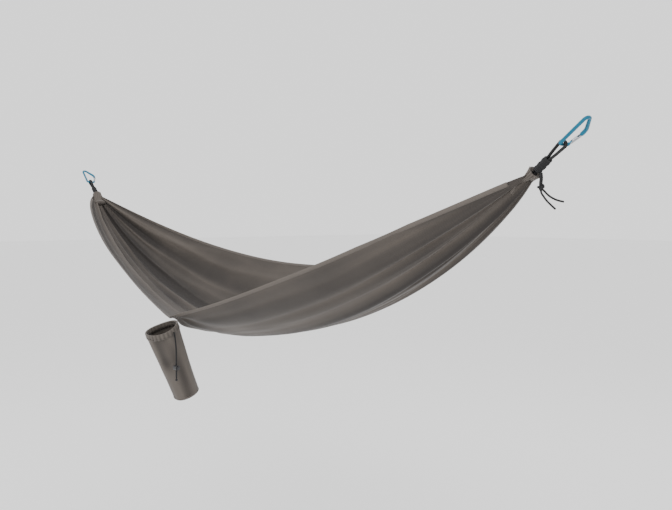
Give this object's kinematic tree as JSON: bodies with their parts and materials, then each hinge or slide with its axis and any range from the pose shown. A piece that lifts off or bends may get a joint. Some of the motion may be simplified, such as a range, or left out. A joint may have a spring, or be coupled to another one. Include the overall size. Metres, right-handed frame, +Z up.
{
  "type": "camping hammock",
  "caption": "Gathered-end fabric camping hammock hung by cord loops from two accessory carabiners, with a stuff sack sewn to its edge.",
  "frame": {"origin": "where a tree strap bears in the left carabiner's top bend", "axes": "+X towards the right carabiner's bearing point, +Z up, the stuff sack on the -Y side"},
  "size_m": [2.8618, 0.6845, 0.8478],
  "materials": {
    "bed_fabric": "matte",
    "hem_fabric": "matte",
    "sack_fabric": "matte",
    "black_cord": "matte",
    "anodised_blue": "satin",
    "gate_silver": "satin",
    "spring_steel": "satin",
    "black_plastic": "matte"
  },
  "bodies": {
    "left_carabiner": {"left_carabiner_body": "anodised_blue", "left_gate_rivet": "spring_steel"},
    "left_gate": {"left_carabiner_gate": "gate_silver", "left_gate_plunger": "spring_steel", "left_gate_spring": "spring_steel", "left_latch_pin": "spring_steel"},
    "bed": {"bed_fabric": "bed_fabric", "far_edge_hem": "hem_fabric", "left_cord_lashing": "black_cord", "left_cord_loop_a": "black_cord", "left_cord_loop_b": "black_cord", "left_cord_tail_a": "black_cord", "left_cord_tail_b": "black_cord", "left_end_channel": "hem_fabric", "left_knot": "black_cord", "left_knot_leg_a": "black_cord", "left_knot_leg_b": "black_cord", "near_edge_hem": "hem_fabric", "right_cord_lashing": "black_cord", "right_cord_loop_a": "black_cord", "right_cord_loop_b": "black_cord", "right_cord_tail_a": "black_cord", "right_cord_tail_b": "black_cord", "right_end_channel": "hem_fabric", "right_knot": "black_cord", "right_knot_leg_a": "black_cord", "right_knot_leg_b": "black_cord", "sack_tape": "sack_fabric"},
    "right_carabiner": {"right_carabiner_body": "anodised_blue", "right_gate_rivet": "spring_steel"},
    "right_gate": {"right_carabiner_gate": "gate_silver", "right_gate_plunger": "spring_steel", "right_gate_spring": "spring_steel", "right_latch_pin": "spring_steel"},
    "stuff_sack": {"drawcord_end_knot": "black_cord", "drawcord_leg_a": "black_cord", "drawcord_leg_b": "black_cord", "drawcord_ring": "black_cord", "sack_base": "sack_fabric", "sack_mouth_hem": "sack_fabric", "stuff_sack": "sack_fabric"},
    "cord_lock": {"cord_lock_barrel": "black_plastic", "cord_lock_spring": "spring_steel"},
    "cord_lock_button": {"cord_lock_button": "black_plastic"}
  },
  "joints": [
    {"name": "rock", "type": "hinge", "parent": "left_carabiner", "child": "bed", "pos_m": [0.06541, 0, -0.05297], "axis": [1, 0, 0], "range_deg": [-20, 20]},
    {"name": "right_carabiner_turn", "type": "hinge", "parent": "bed", "child": "right_carabiner", "pos_m": [2.7814, 0, -0.05297], "axis": [1, 0, 0], "range_deg": [-20, 20]},
    {"name": "left_gate_hinge", "type": "hinge", "parent": "left_carabiner", "child": "left_gate", "pos_m": [0.05804, 0.02314, -0.047], "axis": [0.6293, 0, 0.7771], "range_deg": [0, 24], "stiffness_Nm_per_rad": 0.02, "springref_deg": -17.19},
    {"name": "right_gate_hinge", "type": "hinge", "parent": "right_carabiner", "child": "right_gate", "pos_m": [2.78877, 0.02314, -0.047], "axis": [0.6293, 0, -0.7771], "range_deg": [0, 24], "stiffness_Nm_per_rad": 0.02, "springref_deg": -17.19},
    {"name": "sack_swing", "type": "hinge", "parent": "bed", "child": "stuff_sack", "pos_m": [1.4534, -0.2941, -0.56354], "axis": [1, 0, 0], "range_deg": [-40, 10]},
    {"name": "cord_lock_slide", "type": "slide", "parent": "stuff_sack", "child": "cord_lock", "axis": [0, 0, 1], "range_m": [-0.02, 0.04]},
    {"name": "lock_button_press", "type": "slide", "parent": "cord_lock", "child": "cord_lock_button", "axis": [-0.9877, -0.1564, 0], "range_m": [0, 0.0034], "stiffness_N_per_m": 150, "springref_m": -0.002, "deforming": ["cord_lock_spring"]}
  ],
  "couplings": [
    {"joint": "right_carabiner_turn", "follows": "rock", "ratio": -1}
  ]
}
